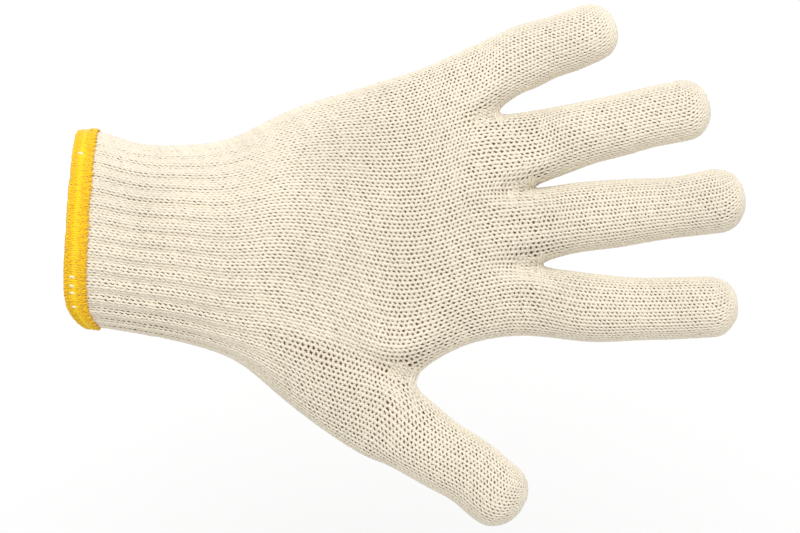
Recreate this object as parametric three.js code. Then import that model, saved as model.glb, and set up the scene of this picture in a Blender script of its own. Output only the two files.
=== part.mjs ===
// A seamless knitted cotton work glove, worn form, as hollow knitted walls.
// Frame: millimetres, origin at the centre of the cuff's mouth, +X towards the fingertips,
// +Y towards the little finger, +Z out of the back of the hand.
import * as THREE from "three";
import { mergeVertices } from "three/addons/utils/BufferGeometryUtils.js";

// Knitted wall, and the gap that separately knitted tubes keep from each other.
const WALL = 1.8;
const GAP = 0.3;

// Cuff: mouth to heel of the hand, and its oval at the mouth.
const CUFF_LENGTH = 58;
const CUFF_WIDTH = 69;
const CUFF_DEPTH = 48;
const RIB_HEIGHT = 0.9;

// Yellow overlock edging that wraps the raw edge of the cuff.
const EDGING_WIDTH = 8.5;
const EDGING_THICKNESS = 1.1;
const SCALLOP = 0.45;

// Hand: cuff to the fork of the middle finger, width over the knuckles, thickness there,
// and how far the root of the thumb stands out from the centre line.
const PALM_LENGTH = 108;
const PALM_WIDTH = 104;
const PALM_DEPTH = 31;
const THUMB_REACH = 77.5;

// Forks between the digits: x as a share of the palm's length past the cuff, y of its width.
const FORKS = {
  thumb: { x: 0.587, y: -0.494 },
  little: { x: 0.852, y: 0.385 },
  ring: { x: 0.964, y: 0.139 },
  middle: { x: 0.989, y: -0.116 },
};
// A fork's web runs back over both faces of the hand, to this share of their height.
const WEB_RUN = 5.6;
const WEB_HEIGHT = 0.62;

// Middle finger: fork to tip, and width.
const FINGER_LENGTH = 72;
const FINGER_WIDTH = 23;

// Digits from the little finger to the thumb: lengths by FINGER_LENGTH, widths and depths by
// FINGER_WIDTH. Rows up to forkRow are shared with the hand.
const DIGITS = [
  { name: "little", forkRow: 9, length: 0.672, width: 0.939, depth: 0.826, heading: 21.5 },
  { name: "ring", forkRow: 10, length: 0.875, width: 0.957, depth: 0.87, heading: 13.5 },
  { name: "middle", forkRow: 10, length: 1, width: 1, depth: 0.891, heading: 6.5 },
  { name: "index", forkRow: 10, length: 0.969, width: 0.983, depth: 0.87, heading: -1.5 },
  { name: "thumb", forkRow: 7, length: 0.781, width: 1.07, depth: 0.978, heading: -36 },
];
// The tip is a blunt dome, this share of the digit's width long. It closes at a point that
// is turned by TIP_TURN degrees towards the little finger's side.
const TIP_REACH = 0.5;
const TIP_POWER = 2.4;
const TIP_TURN = 40;
const TIP_ANGLES = [66, 40, 14];
// The last stitches are drawn shut within this share of the width from the closing point.
const TIP_CLOSING = 0.35;

// Rows of the cuff: x, how far a row slants back on the little finger's side and curls back
// on the thumb's, by its length; both edges by its width, heights by its depth.
const CUFF_ROWS = [
  { x: 0, slant: 0.07, curl: 0.13, little: 0.48, thumb: 0.49, back: 0.5, palm: 0.5 },
  { x: 0.17, slant: 0.06, curl: 0.06, little: 0.484, thumb: 0.497, back: 0.5, palm: 0.5 },
  { x: 0.43, slant: 0, curl: 0, little: 0.432, thumb: 0.525, back: 0.47, palm: 0.47 },
  { x: 0.7, slant: 0, curl: 0, little: 0.421, thumb: 0.57, back: 0.45, palm: 0.46 },
  { x: 1, slant: 0, curl: 0, little: 0.461, thumb: 0.655, back: 0.425, palm: 0.46 },
];
const CURL_POWER = 7;
// Rows of the hand from cuff to thumb fork: little edge and back of the thumb fork by palm
// length and width, thumb edge by palm length and thumb reach, heights by palm depth.
const THUMB_ROWS = [
  { xl: 0.167, yl: 0.388, xf: 0.16, yf: -0.34, xt: 0.12, yt: 0.711, back: 0.6, palm: 0.7 },
  { xl: 0.361, yl: 0.454, xf: 0.355, yf: -0.405, xt: 0.264, yt: 0.87, back: 0.54, palm: 0.68 },
  { xl: 0.565, yl: 0.52, xf: 0.53, yf: -0.462, xt: 0.406, yt: 1.0, back: 0.5, palm: 0.6 },
];
// Rows of the hand past the thumb: little or ring edge and index edge.
const FINGER_ROWS = [
  { xl: 0.676, yl: 0.565, xi: 0.7, yi: -0.405, back: 0.49, palm: 0.54 },
  { xl: 0.77, yl: 0.61, xi: 0.824, yi: -0.364, back: 0.48, palm: 0.5 },
  { xl: 0.952, yl: 0.392, xi: 0.947, yi: -0.355, back: 0.44, palm: 0.46 },
];
// Sections of each digit from its fork to the base of its tip: along by the way between
// them, widths, leans towards the little finger and drops towards the palm by its width.
const DIGIT_ROWS = [
  {
    along: 0.2,
    width: [1.03, 1.06, 1.05, 1.06, 1.1],
    depth: 0.98,
    lean: [0.085, 0.035, 0.051, -0.068, -0.028],
    drop: 0.01,
  },
  {
    along: 0.4,
    width: [1.04, 0.99, 1.03, 1.03, 1.02],
    depth: 1,
    lean: [0.104, 0.05, 0.05, -0.103, -0.019],
    drop: 0.03,
  },
  {
    along: 0.6,
    width: [0.98, 0.97, 0.97, 0.965, 0.99],
    depth: 0.97,
    lean: [0.104, 0.048, 0.048, -0.096, 0.007],
    drop: 0.06,
  },
  {
    along: 0.8,
    width: [0.965, 0.955, 0.92, 0.955, 0.96],
    depth: 0.94,
    lean: [0.08, 0.058, 0.041, -0.075, 0.035],
    drop: 0.1,
  },
  {
    along: 1,
    width: [0.94, 0.965, 0.97, 0.94, 0.96],
    depth: 0.92,
    lean: [0.08, 0.042, 0.063, -0.043, 0.005],
    drop: 0.14,
  },
];

// Wales, the knitted columns: on the back or palm of each digit, and on half of its side.
const WALES_FACE = 10;
const WALES_HALF_SIDE = 2;
const WALES_PER_RIB = 3;
const WALES_ROUND_CUFF = 2 * DIGITS.length * WALES_FACE + 4 * WALES_HALF_SIDE;
const RIBS = WALES_ROUND_CUFF / WALES_PER_RIB;

// Mesh of control points: 4 cells across a digit's face, 12 round it.
const FACE_CELLS = 4;
const COLUMNS = 2 * FACE_CELLS + 4;
const LEFT_SIDE = 0;
const RIGHT_SIDE = FACE_CELLS + 2;
const LEVELS = 3;
const FINE = 2 ** LEVELS;
const FITTING_PASSES = 12;
const WELD = 1e-4;
// Seams run at a slant near the forks, where the gap across them is less than along a row.
const SEAM_SLACK = 2.6;

// Sections are ovals of this power. At 2 they are ellipses.
const SECTION_POWER = 2.25;
const CUFF_POWER = 2.1;
const lerp = THREE.MathUtils.lerp;
const toRadians = THREE.MathUtils.degToRad;
const vec = (x, y, z = 0) => new THREE.Vector3(x, y, z);

// Wales from the left side to a column of the back of the hand, counted over several digits.
function walesTo(column) {
  const perCell = WALES_FACE / FACE_CELLS;
  return column === 0 ? 0 : WALES_HALF_SIDE + (column - 1) * perCell;
}

// Half of an oval section: s runs from 0 to 1 across it, and the height is a share.
function ovalHeight(s, power) {
  return (1 - Math.abs(2 * s - 1) ** power) ** (1 / power);
}

// Places across a half section of the given width and height that split its length evenly.
function evenPlaces(width, height, power, shares) {
  const steps = 240;
  const lengths = [0];
  const place = (i) => (1 - Math.cos((Math.PI * i) / steps)) / 2;
  for (let i = 1; i <= steps; i++) {
    const across = width * (place(i) - place(i - 1));
    const up = height * (ovalHeight(place(i), power) - ovalHeight(place(i - 1), power));
    lengths.push(lengths[i - 1] + Math.hypot(across, up));
  }
  return shares.map((share) => {
    const wanted = share * lengths[steps];
    let i = 1;
    while (i < steps && lengths[i] < wanted) i++;
    return lerp(place(i - 1), place(i), (wanted - lengths[i - 1]) / (lengths[i] - lengths[i - 1]));
  });
}

// A row across the hand through two or three points, as { top, bottom } lists of points.
// digits is how many of them the row crosses; the last point is the free edge.
function handRow({ left, fork, right, back, palm, digits, slant = 0, curl = 0, power = SECTION_POWER }) {
  const lastColumn = digits * FACE_CELLS + 2;
  const total = walesTo(lastColumn - 1) + WALES_HALF_SIDE;
  const run = fork ? left.distanceTo(fork) + fork.distanceTo(right) : left.distanceTo(right);
  const shares = [];
  for (let c = 0; c <= lastColumn; c++) {
    shares.push(c === lastColumn ? 1 : walesTo(c) / total);
  }
  let places = evenPlaces(run, (back + palm) / 2, power, shares);
  if (fork) {
    // The fork's line keeps its own column, and the others spread on either side of it.
    const column = (digits - 1) * FACE_CELLS + 1;
    const held = places[column];
    const forkPlace = left.distanceTo(fork) / run;
    places = places.map((s) =>
      s <= held ? (s * forkPlace) / held : 1 - ((1 - s) * (1 - forkPlace)) / (1 - held),
    );
  }
  const forkPlace = fork ? left.distanceTo(fork) / run : 1;
  const at = (s, height) => {
    const flat =
      s <= forkPlace
        ? left.clone().lerp(fork ?? right, s / forkPlace)
        : fork.clone().lerp(right, (s - forkPlace) / (1 - forkPlace));
    flat.x += slant * (1 - s) + curl * Math.max(0, 2 * s - 1) ** CURL_POWER;
    flat.z += height * ovalHeight(s, power);
    return flat;
  };
  return { top: places.map((s) => at(s, back)), bottom: places.map((s) => at(s, -palm)) };
}

function allHandRows() {
  const rows = CUFF_ROWS.map((r) =>
    handRow({
      left: vec(r.x * CUFF_LENGTH, r.little * CUFF_WIDTH),
      right: vec(r.x * CUFF_LENGTH, -r.thumb * CUFF_WIDTH),
      slant: r.slant * CUFF_LENGTH,
      curl: r.curl * CUFF_LENGTH,
      back: r.back * CUFF_DEPTH,
      palm: r.palm * CUFF_DEPTH,
      digits: 5,
      power: CUFF_POWER,
    }),
  );
  const along = (share) => CUFF_LENGTH + share * PALM_LENGTH;
  for (const r of THUMB_ROWS) {
    rows.push(
      handRow({
        left: vec(along(r.xl), r.yl * PALM_WIDTH),
        fork: vec(along(r.xf), r.yf * PALM_WIDTH),
        right: vec(along(r.xt), -r.yt * THUMB_REACH),
        back: r.back * PALM_DEPTH,
        palm: r.palm * PALM_DEPTH,
        digits: 5,
      }),
    );
  }
  for (const [i, r] of FINGER_ROWS.entries()) {
    rows.push(
      handRow({
        left: vec(along(r.xl), r.yl * PALM_WIDTH),
        right: vec(along(r.xi), r.yi * PALM_WIDTH),
        back: r.back * PALM_DEPTH,
        palm: r.palm * PALM_DEPTH,
        digits: i < 2 ? 4 : 3,
      }),
    );
  }
  return rows;
}

// Pulls a row's points back from a fork, down over the web, and returns the web's middle.
function webAt(row, column, fork, towards) {
  const web = vec(CUFF_LENGTH + fork.x * PALM_LENGTH, fork.y * PALM_WIDTH);
  for (const side of [row.top, row.bottom]) {
    const p = side[column];
    p.set(web.x - WEB_RUN * towards.x, web.y - WEB_RUN * towards.y, p.z * WEB_HEIGHT);
  }
  return web;
}

// The section of a digit at one station, as a closed ring of COLUMNS points.
function digitRing(centre, forward, width, depth) {
  const side = vec(-forward.y, forward.x);
  const half = WALES_HALF_SIDE / (2 * WALES_FACE + 4 * WALES_HALF_SIDE);
  const turns = [0];
  for (let c = 0; c <= FACE_CELLS; c++) turns.push(lerp(half, 0.5 - half, c / FACE_CELLS));
  turns.push(0.5);
  for (let c = FACE_CELLS; c >= 0; c--) turns.push(1 - turns[c + 1]);
  return turns.map((turn) => {
    const angle = turn * 2 * Math.PI;
    return centre
      .clone()
      .addScaledVector(side, (width / 2) * Math.cos(angle))
      .add(vec(0, 0, (depth / 2) * Math.sin(angle)));
  });
}

// Rings of a closed, blunt tip. The rings turn as they shrink, so that the tip closes
// on the little finger's side of the digit.
function tipRings(centre, forward, width, depth, reach) {
  const side = vec(-forward.y, forward.x);
  const up = vec(0, 0, 1);
  return TIP_ANGLES.map((angle) => {
    const polar = toRadians(angle);
    const turn = toRadians(TIP_TURN * (1 - angle / 90));
    return digitRing(vec(0, 0), vec(1, 0), 2, 2).map((p) => {
      // p holds the way round the digit: y towards the side, z up.
      const outward = vec(Math.cos(polar), p.y * Math.sin(polar), p.z * Math.sin(polar));
      outward.applyAxisAngle(up, turn);
      const flat = Math.abs(outward.x) ** TIP_POWER;
      const round = Math.hypot(outward.y, outward.z) ** TIP_POWER;
      outward.divideScalar((flat + round) ** (1 / TIP_POWER));
      return centre
        .clone()
        .addScaledVector(forward, outward.x * reach)
        .addScaledVector(side, outward.y * (width / 2))
        .addScaledVector(up, outward.z * (depth / 2));
    });
  });
}

// Grids of wanted surface points, one for each digit: rows from the mouth to the tip, each
// of COLUMNS points round the digit, with null where the digit has no side of its own.
function wantedGrids() {
  const rows = allHandRows();
  const heading = Object.fromEntries(
    DIGITS.map((d) => [d.name, vec(Math.cos(toRadians(d.heading)), Math.sin(toRadians(d.heading)))]),
  );
  const between = (a, b) => heading[a].clone().add(heading[b]).normalize();
  const webs = {
    thumb: webAt(rows[7], 17, FORKS.thumb, between("index", "thumb")),
    little: webAt(rows[9], 5, FORKS.little, between("little", "ring")),
    ring: webAt(rows[10], 5, FORKS.ring, between("ring", "middle")),
    middle: webAt(rows[10], 9, FORKS.middle, between("middle", "index")),
  };
  // Where each digit's own sides begin: row and point.
  const free = {
    little: { left: 0, right: 9, rightWeb: webs.little },
    ring: { left: 9, leftWeb: webs.little, right: 10, rightWeb: webs.ring },
    middle: { left: 10, leftWeb: webs.ring, right: 10, rightWeb: webs.middle },
    index: { left: 10, leftWeb: webs.middle, right: 7, rightWeb: webs.thumb },
    thumb: { left: 7, leftWeb: webs.thumb, right: 0 },
  };
  return DIGITS.map((digit, d) => {
    const sides = free[digit.name];
    const grid = [];
    for (let r = 0; r <= digit.forkRow; r++) {
      const row = rows[r];
      // The row past the little finger's fork starts with the ring finger.
      const first = 1 + FACE_CELLS * (r === 10 ? d - 1 : d);
      const ring = new Array(COLUMNS).fill(null);
      for (let c = 0; c <= FACE_CELLS; c++) {
        ring[1 + c] = row.top[first + c];
        ring[COLUMNS - 1 - c] = row.bottom[first + c];
      }
      if (r === sides.left && sides.leftWeb) ring[LEFT_SIDE] = sides.leftWeb;
      else if (r >= sides.left) ring[LEFT_SIDE] = row.top[first - 1];
      if (r === sides.right && sides.rightWeb) ring[RIGHT_SIDE] = sides.rightWeb;
      else if (r >= sides.right) ring[RIGHT_SIDE] = row.top[first + FACE_CELLS + 1];
      grid.push(ring);
    }
    const root = grid[digit.forkRow];
    const start = root[LEFT_SIDE].clone().lerp(root[RIGHT_SIDE], 0.5).setZ(0);
    const forward = heading[digit.name];
    const side = vec(-forward.y, forward.x);
    const width = digit.width * FINGER_WIDTH;
    const depth = digit.depth * FINGER_WIDTH;
    const reach = TIP_REACH * width;
    let section = null;
    for (const r of DIGIT_ROWS) {
      const centre = start
        .clone()
        .addScaledVector(forward, r.along * (digit.length * FINGER_LENGTH - reach))
        .addScaledVector(side, r.lean[d] * width)
        .setZ(-r.drop * width);
      section = [centre, forward, r.width[d] * width, r.depth * depth];
      grid.push(digitRing(...section));
    }
    grid.push(...tipRings(...section, reach));
    return grid;
  });
}

// Welds the grids into one net of quads. Each quad keeps its digit, row and column.
function netOf(grids) {
  const points = [];
  const known = new Map();
  const idOf = (p) => {
    const key = p.toArray().map((x) => Math.round(x * 1e4)).join();
    if (!known.has(key)) {
      known.set(key, points.length);
      points.push(p.clone());
    }
    return known.get(key);
  };
  const quads = [];
  grids.forEach((grid, digit) => {
    for (let row = 0; row + 1 < grid.length; row++) {
      for (let column = 0; column < COLUMNS; column++) {
        const next = (column + 1) % COLUMNS;
        const corners = [grid[row][column], grid[row][next], grid[row + 1][next], grid[row + 1][column]];
        if (corners.every(Boolean)) quads.push({ digit, row, column, corners: corners.map(idOf) });
      }
    }
  });
  return { points, quads };
}

// Edges of a net with their quads, and for each point its edge neighbours, its opposite
// corners, and its neighbours along an open border.
function surroundings({ points, quads }) {
  const edges = new Map();
  const around = points.map(() => ({ edges: [], opposite: [], border: [], quads: [] }));
  quads.forEach(({ corners }, q) => {
    corners.forEach((a, i) => {
      const b = corners[(i + 1) % 4];
      const key = Math.min(a, b) * points.length + Math.max(a, b);
      if (!edges.has(key)) edges.set(key, { a, b, quads: [] });
      edges.get(key).quads.push(q);
      around[a].opposite.push(corners[(i + 2) % 4]);
      around[a].quads.push(q);
    });
  });
  for (const { a, b, quads: sharing } of edges.values()) {
    around[a].edges.push(b);
    around[b].edges.push(a);
    if (sharing.length === 1) {
      around[a].border.push(b);
      around[b].border.push(a);
    }
  }
  return { edges, around };
}

const sum = (points, ids) => ids.reduce((total, i) => total.add(points[i]), vec(0, 0));

// Where the smooth surface of a net lies at each of its points.
function smoothPlaces(net, around) {
  return net.points.map((p, i) => {
    const { edges, opposite, border } = around[i];
    if (border.length) return sum(net.points, border).addScaledVector(p, 4).divideScalar(6);
    const n = edges.length;
    return sum(net.points, edges)
      .multiplyScalar(4)
      .addScaledVector(p, n * n)
      .add(sum(net.points, opposite))
      .divideScalar(n * (n + 5));
  });
}

// Moves a net's points until its smooth surface passes through the wanted ones.
function fitted(net) {
  const { around } = surroundings(net);
  const wanted = net.points.map((p) => p.clone());
  for (let pass = 0; pass < FITTING_PASSES; pass++) {
    const smooth = smoothPlaces(net, around);
    net.points.forEach((p, i) => p.add(wanted[i]).sub(smooth[i]));
  }
  return net;
}

// One Catmull-Clark subdivision. Rows and columns double.
function refined(net) {
  const { edges, around } = surroundings(net);
  const { points, quads } = net;
  const centres = quads.map(({ corners }) => sum(points, corners).divideScalar(4));
  const made = points.map((p, i) => {
    const { edges: near, border, quads: sharing } = around[i];
    if (border.length) return sum(points, border).addScaledVector(p, 6).divideScalar(8);
    const n = near.length;
    const middles = sum(points, near).addScaledVector(p, n).divideScalar(n);
    return sum(centres, sharing)
      .divideScalar(n)
      .add(middles)
      .addScaledVector(p, n - 3)
      .divideScalar(n);
  });
  const edgeIds = new Map();
  for (const [key, { a, b, quads: sharing }] of edges) {
    const middle = points[a].clone().add(points[b]);
    if (sharing.length === 2) middle.add(centres[sharing[0]]).add(centres[sharing[1]]);
    edgeIds.set(key, made.push(middle.divideScalar(sharing.length === 2 ? 4 : 2)) - 1);
  }
  const edgeId = (a, b) => edgeIds.get(Math.min(a, b) * points.length + Math.max(a, b));
  const finer = quads.flatMap(({ digit, row, column, corners: [a, b, c, d] }, q) => {
    const centre = made.push(centres[q]) - 1;
    const [ab, bc, cd, da] = [edgeId(a, b), edgeId(b, c), edgeId(c, d), edgeId(d, a)];
    const at = (r, k, corners) => ({ digit, row: 2 * row + r, column: 2 * column + k, corners });
    return [
      at(0, 0, [a, ab, centre, da]),
      at(0, 1, [ab, b, bc, centre]),
      at(1, 1, [centre, bc, c, cd]),
      at(1, 0, [da, centre, cd, d]),
    ];
  });
  return { points: made, quads: finer };
}

// The glove's outer surface: smooth points and normals by digit, row and column.
function gloveSurface() {
  const wanted = wantedGrids();
  let net = fitted(netOf(wanted));
  for (let level = 0; level < LEVELS; level++) net = refined(net);
  const points = smoothPlaces(net, surroundings(net).around);
  const normals = points.map(() => vec(0, 0));
  for (const { corners } of net.quads) {
    const [a, b, c, d] = corners.map((i) => points[i]);
    const normal = c.clone().sub(a).cross(d.clone().sub(b));
    corners.forEach((i) => normals[i].add(normal));
  }
  normals.forEach((n) => n.normalize());
  const grids = wanted.map((grid) =>
    Array.from({ length: (grid.length - 1) * FINE + 1 }, () => new Array(COLUMNS * FINE).fill(null)),
  );
  for (const { digit, row, column, corners } of net.quads) {
    const next = (column + 1) % (COLUMNS * FINE);
    const places = [[row, column], [row, next], [row + 1, next], [row + 1, column]];
    places.forEach(([r, c], i) => (grids[digit][r][c] = corners[i]));
  }
  const rowsOf = (digit) => (grids[digit].length - 1) / FINE;
  // Point and normal at any row and column of a digit, between the fine points.
  function at(digit, row, column) {
    const grid = grids[digit];
    const r = THREE.MathUtils.clamp(row * FINE, 0, grid.length - 1);
    const c = column * FINE;
    const [r0, c0] = [Math.min(Math.floor(r), grid.length - 2), Math.floor(c)];
    const [fr, fc] = [r - r0, c - c0];
    const mix = (list) => {
      const total = vec(0, 0);
      for (const [dr, dc, weight] of [
        [0, 0, (1 - fr) * (1 - fc)],
        [1, 0, fr * (1 - fc)],
        [0, 1, (1 - fr) * fc],
        [1, 1, fr * fc],
      ]) {
        if (weight < 1e-9) continue;
        total.addScaledVector(list[grid[r0 + dr][(c0 + dc) % grid[0].length]], weight);
      }
      return total;
    };
    return { point: mix(points), normal: mix(normals).normalize() };
  }
  return { at, rowsOf };
}

const surface = gloveSurface();

// Cells of surface samples over rows and columns of some digits, welded where they meet.
// A patch is { digit, rows, columns, seams }. Cells along a seam have one more corner, so
// that a coarse piece follows the line of the fine one that it was knitted on to.
function sampled(patches) {
  const samples = [];
  const known = new Map();
  const idOf = (digit, row, column) => {
    const { point, normal } = surface.at(digit, row, column);
    const key = point.toArray().map((x) => Math.round(x * 1e3)).join();
    if (!known.has(key)) {
      known.set(key, samples.length);
      samples.push({ point, normal });
    }
    return known.get(key);
  };
  const cells = [];
  for (const { digit, rows, columns, seams = [] } of patches) {
    for (let i = 0; i + 1 < rows.length; i++) {
      for (let j = 0; j + 1 < columns.length; j++) {
        const middle = (columns[j] + columns[j + 1]) / 2;
        const cell = [idOf(digit, rows[i], columns[j])];
        if (seams.includes(rows[i])) cell.push(idOf(digit, rows[i], middle));
        cell.push(idOf(digit, rows[i], columns[j + 1]), idOf(digit, rows[i + 1], columns[j + 1]));
        if (seams.includes(rows[i + 1])) cell.push(idOf(digit, rows[i + 1], middle));
        cell.push(idOf(digit, rows[i + 1], columns[j]));
        cells.push(cell);
      }
    }
  }
  return { samples, cells };
}

// A closed body: the sampled surface, its inner face one wall below, and rims between them.
// Where capRadius is given, both faces close over the border within it of capCentre.
function knittedWall({ samples, cells }, capCentre = null, capRadius = 0) {
  const all = samples.map((s) => s.point);
  const inner = all.length;
  samples.forEach((s) => all.push(s.point.clone().addScaledVector(s.normal, -WALL)));
  const positions = [];
  const face = (ids) => {
    for (let i = 1; i + 1 < ids.length; i++) {
      positions.push(...all[ids[0]], ...all[ids[i]], ...all[ids[i + 1]]);
    }
  };
  const below = (ids) => ids.map((i) => i + inner).reverse();
  const border = new Map();
  for (const cell of cells) {
    face(cell);
    face(below(cell));
    cell.forEach((a, i) => {
      const b = cell[(i + 1) % cell.length];
      if (!border.delete(`${b},${a}`)) border.set(`${a},${b}`, [a, b]);
    });
  }
  const isCap = ([a]) => capCentre && all[a].distanceTo(capCentre) < capRadius;
  const caps = [...border.values()].filter(isCap);
  if (caps.length) {
    const ids = caps.map(([a]) => a);
    const normal = sum(samples.map((s) => s.normal), ids).normalize();
    const middle = sum(all, ids).divideScalar(ids.length);
    const top = all.push(middle) - 1;
    const bottom = all.push(middle.clone().addScaledVector(normal, -WALL)) - 1;
    for (const [a, b] of caps) {
      face([b, a, top]);
      face([a + inner, b + inner, bottom]);
    }
  }
  for (const [a, b] of border.values()) {
    if (!isCap([a])) face([b, a, a + inner, b + inner]);
  }
  return welded(positions);
}

function welded(positions) {
  const geometry = new THREE.BufferGeometry();
  geometry.setAttribute("position", new THREE.Float32BufferAttribute(positions, 3));
  return mergeVertices(geometry, WELD);
}

const steps = (from, to, count) => Array.from({ length: count + 1 }, (_, i) => lerp(from, to, i / count));

// Columns of a digit's back and palm faces, and of its sides where they are its own.
const BACK = [1, 1 + FACE_CELLS];
const PALM = [RIGHT_SIDE + 1, COLUMNS - 1];
const LEFT_HALVES = [[0, 1], [COLUMNS - 1, COLUMNS]];
const RIGHT_HALVES = [[FACE_CELLS + 1, RIGHT_SIDE], [RIGHT_SIDE, RIGHT_SIDE + 1]];

function faces(digit, rows, { perCell = 1, seams } = {}) {
  const columns = [BACK, PALM].map(([a, b]) => steps(a, b, FACE_CELLS * perCell));
  return columns.map((list) => ({ digit, rows, columns: list, seams }));
}

const side = (halves, digit, rows) => halves.map(([a, b]) => ({ digit, rows, columns: [a, b] }));

// The row from which a piece keeps the gap from the one that ends at the given row. Rows
// lie closest together beside the forks, so the digit's outermost face columns decide.
function pastRow(digit, row) {
  const offsets = [BACK[0], BACK[1], ...PALM].map((column) => {
    const here = surface.at(digit, row, column).point;
    const ahead = surface.at(digit, row + 1 / FINE, column).point;
    return (SEAM_SLACK * GAP) / FINE / here.distanceTo(ahead);
  });
  return row + Math.max(...offsets);
}

const cotton = () => new THREE.MeshStandardMaterial({ color: 0xeee3cb, roughness: 0.95, metalness: 0 });
const yellowThread = () => new THREE.MeshStandardMaterial({ color: 0xf6b90f, roughness: 0.8, metalness: 0 });

function mesh(name, geometry, material) {
  geometry.computeVertexNormals();
  const made = new THREE.Mesh(geometry, material);
  made.name = name;
  return made;
}

const CUFF_ROW_COUNT = CUFF_ROWS.length - 1;
const THUMB_FORK_ROW = DIGITS.at(-1).forkRow;
const LITTLE_FORK_ROW = DIGITS[0].forkRow;
const FINGER_FORK_ROW = DIGITS[1].forkRow;

// A finger or thumb, knitted as a tube from its closed tip to its fork.
function stall(digit) {
  const { name, forkRow, width } = DIGITS[digit];
  const last = surface.rowsOf(digit);
  const tube = [0.25, 0.75, 1.5, 2.3, 3.1, 4, 5].map((r) => forkRow + r);
  const rows = [pastRow(digit, forkRow), ...tube, last - 2.5, last - 2, last - 1.5, last - 1, last];
  const patches = [
    ...faces(digit, rows, { perCell: 2 }),
    ...side(LEFT_HALVES, digit, rows),
    ...side(RIGHT_HALVES, digit, rows),
  ];
  const tip = surface.at(digit, last, 1 + FACE_CELLS / 2).point;
  const suffix = name === "thumb" ? "" : "_finger";
  const closing = TIP_CLOSING * width * FINGER_WIDTH;
  return mesh(`${name}${suffix}`, knittedWall(sampled(patches), tip, closing), cotton());
}

// The hand past the thumb, with a hole for each finger.
function upperHand() {
  const start = pastRow(2, THUMB_FORK_ROW);
  const low = [start, ...steps(THUMB_FORK_ROW + 0.5, LITTLE_FORK_ROW, 3)];
  const high = steps(LITTLE_FORK_ROW, FINGER_FORK_ROW, 2);
  const patches = [
    ...faces(0, low, { seams: [start, LITTLE_FORK_ROW] }),
    ...side(LEFT_HALVES, 0, low),
    ...side(LEFT_HALVES, 1, high),
    ...side(RIGHT_HALVES, 3, low),
    ...side(RIGHT_HALVES, 3, high),
  ];
  for (const digit of [1, 2, 3]) {
    patches.push(...faces(digit, low, { seams: [start] }));
    patches.push(...faces(digit, high, { seams: [FINGER_FORK_ROW] }));
  }
  return mesh("upper_hand", knittedWall(sampled(patches)), cotton());
}

// The hand from the cuff to the thumb's fork.
function lowerHand() {
  const start = pastRow(2, CUFF_ROW_COUNT);
  const rows = [start, ...steps(CUFF_ROW_COUNT + 0.5, THUMB_FORK_ROW, 5)];
  const patches = [...side(LEFT_HALVES, 0, rows), ...side(RIGHT_HALVES, 4, rows)];
  DIGITS.forEach((_, digit) => patches.push(...faces(digit, rows, { seams: [THUMB_FORK_ROW] })));
  return mesh("lower_hand", knittedWall(sampled(patches)), cotton());
}

// Digit and column of a wale, counted round the whole cuff from the little finger's side.
function placeOf(wale) {
  const half = WALES_HALF_SIDE;
  const across = DIGITS.length * WALES_FACE;
  const perWale = FACE_CELLS / WALES_FACE;
  const onFace = (w) => Math.min(Math.floor(w / WALES_FACE), DIGITS.length - 1);
  if (wale < half) return { digit: 0, column: wale / half };
  if (wale < half + across) {
    const digit = onFace(wale - half);
    return { digit, column: 1 + (wale - half - digit * WALES_FACE) * perWale };
  }
  if (wale < 3 * half + across) {
    return { digit: DIGITS.length - 1, column: 1 + FACE_CELLS + (wale - half - across) / half };
  }
  if (wale < 3 * half + 2 * across) {
    const back = wale - 3 * half - across;
    const turn = onFace(back);
    return { digit: DIGITS.length - 1 - turn, column: PALM[0] + (back - turn * WALES_FACE) * perWale };
  }
  return { digit: 0, column: COLUMNS - 1 + (wale - 3 * half - 2 * across) / half };
}

// The row at a distance from the mouth, walked along the surface.
function rowAt({ digit, column }, distance) {
  let row = 0;
  let walked = 0;
  let here = surface.at(digit, row, column).point;
  for (;;) {
    const ahead = surface.at(digit, row + 1 / FINE, column).point;
    const length = here.distanceTo(ahead);
    if (walked + length >= distance) return row + (distance - walked) / length / FINE;
    walked += length;
    row += 1 / FINE;
    here = ahead;
  }
}

// A closed ring of points round the cuff: rowOf and depthOf are asked once for each point.
function cuffLoop(count, rowOf, depthOf) {
  return steps(0, WALES_ROUND_CUFF, count)
    .slice(0, -1)
    .map((wale, i) => {
      const place = placeOf(wale);
      const { point, normal } = surface.at(place.digit, rowOf(place, i), place.column);
      return point.addScaledVector(normal, -depthOf(i));
    });
}

// A ring-shaped body from loops that follow each other round its section.
function ringBody(loops) {
  const positions = [];
  loops.forEach((loop, k) => {
    const next = loops[(k + 1) % loops.length];
    loop.forEach((a, i) => {
      const j = (i + 1) % loop.length;
      positions.push(...a, ...loop[j], ...next[j], ...a, ...next[j], ...next[i]);
    });
  });
  return welded(positions);
}

// The elastic wrist. Every third wale lies lower, and the edge is pressed in by the edging.
function ribCuff() {
  const pressed = EDGING_THICKNESS + GAP;
  const away = (distance) => (place) => rowAt(place, distance);
  const stations = [
    { rowOf: away(pressed), depth: pressed, rib: 0 },
    { rowOf: away(EDGING_WIDTH + 0.6), depth: pressed, rib: 0 },
    { rowOf: away(EDGING_WIDTH + 1.6), depth: 0, rib: 1 },
    { rowOf: () => 2, depth: 0, rib: 1 },
    { rowOf: () => 3, depth: 0, rib: 0.8 },
    { rowOf: () => CUFF_ROW_COUNT, depth: 0, rib: 0.25 },
  ];
  const loops = (wall) =>
    stations.map(({ rowOf, depth, rib }) =>
      cuffLoop(WALES_ROUND_CUFF, rowOf, (i) => {
        const valley = i % WALES_PER_RIB === 0 ? rib * RIB_HEIGHT : 0;
        return depth + valley + wall;
      }),
    );
  return mesh("rib_cuff", ringBody([...loops(0), ...loops(WALL).reverse()]), cotton());
}

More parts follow.
